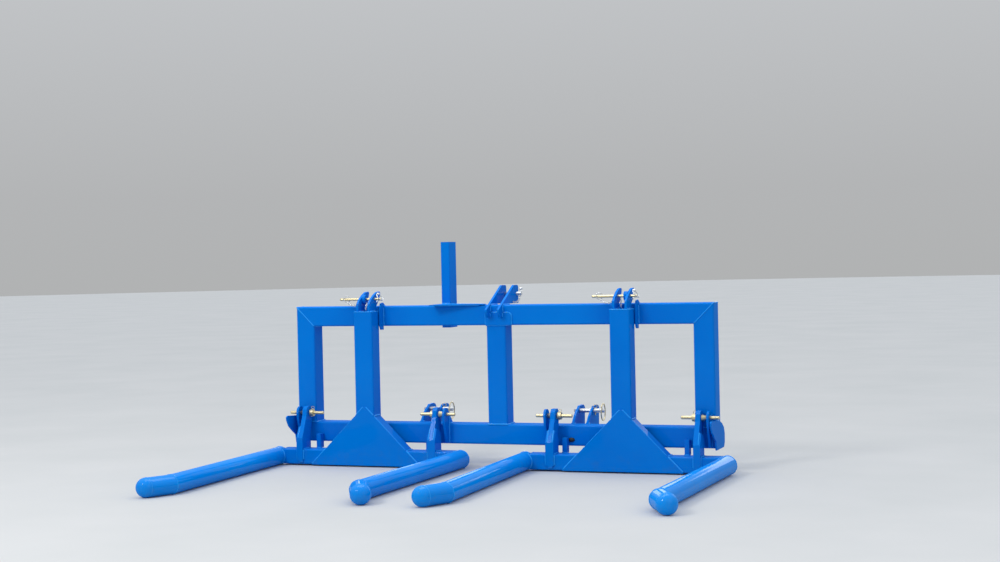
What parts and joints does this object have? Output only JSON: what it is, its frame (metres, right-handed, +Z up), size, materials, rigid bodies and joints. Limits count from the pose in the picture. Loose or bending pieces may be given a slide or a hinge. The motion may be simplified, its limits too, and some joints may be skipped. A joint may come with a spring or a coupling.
{
  "type": "tractor-mounted round bale carrier (three-point double bale fork)",
  "caption": "Rear linkage carrier for wrapped round bales: a welded rectangular tube frame with paired bale forks hung on pins, each with a mast and round lifting tubes lying on the ground",
  "frame": {"origin": "on the ground under the middle of the whole machine, halfway across and halfway from the tube tips to the front of the lower hitch plates", "axes": "+X to the machine's right as seen from behind, +Y forward to the tractor, +Z up"},
  "size_m": [2.616, 1.7042, 1.183],
  "materials": {
    "paint": "gloss",
    "zinc": "satin"
  },
  "bodies": {
    "main_frame": {"upper_beam": "paint", "lower_beam": "paint", "end_post_left": "paint", "end_post_right": "paint", "centre_post": "paint", "tall_post": "paint", "post_gusset": "paint", "top_link_plates": "paint", "link_base_plate": "paint", "lower_hitch_left": "paint", "lower_hitch_right": "paint", "hinge_plates_left": "paint", "hinge_plates_right": "paint", "mast_guides_left": "paint", "mast_guides_right": "paint", "end_plate_left": "paint", "end_plate_right": "paint"},
    "fork_left": {"left_inner_tube": "paint", "left_outer_tube": "paint", "left_inner_tip": "paint", "left_outer_tip": "paint", "left_cross_beam": "paint", "left_mast": "paint", "left_gusset": "paint", "left_hinge_lugs": "paint", "left_stop_pads": "paint", "left_top_lugs": "paint", "left_hinge_pins": "zinc", "left_top_pin": "zinc"},
    "fork_right": {"right_inner_tube": "paint", "right_outer_tube": "paint", "right_inner_tip": "paint", "right_outer_tip": "paint", "right_cross_beam": "paint", "right_mast": "paint", "right_gusset": "paint", "right_hinge_lugs": "paint", "right_stop_pads": "paint", "right_top_lugs": "paint", "right_hinge_pins": "zinc", "right_top_pin": "zinc"}
  },
  "joints": [
    {"name": "fork_left_float", "type": "hinge", "parent": "main_frame", "child": "fork_left", "pos_m": [-0.705, 0.54112, 0.276], "axis": [-1, 0, 0], "range_deg": [0, 2]},
    {"name": "fork_right_float", "type": "hinge", "parent": "main_frame", "child": "fork_right", "pos_m": [0.705, 0.54112, 0.276], "axis": [-1, 0, 0], "range_deg": [0, 2]}
  ]
}
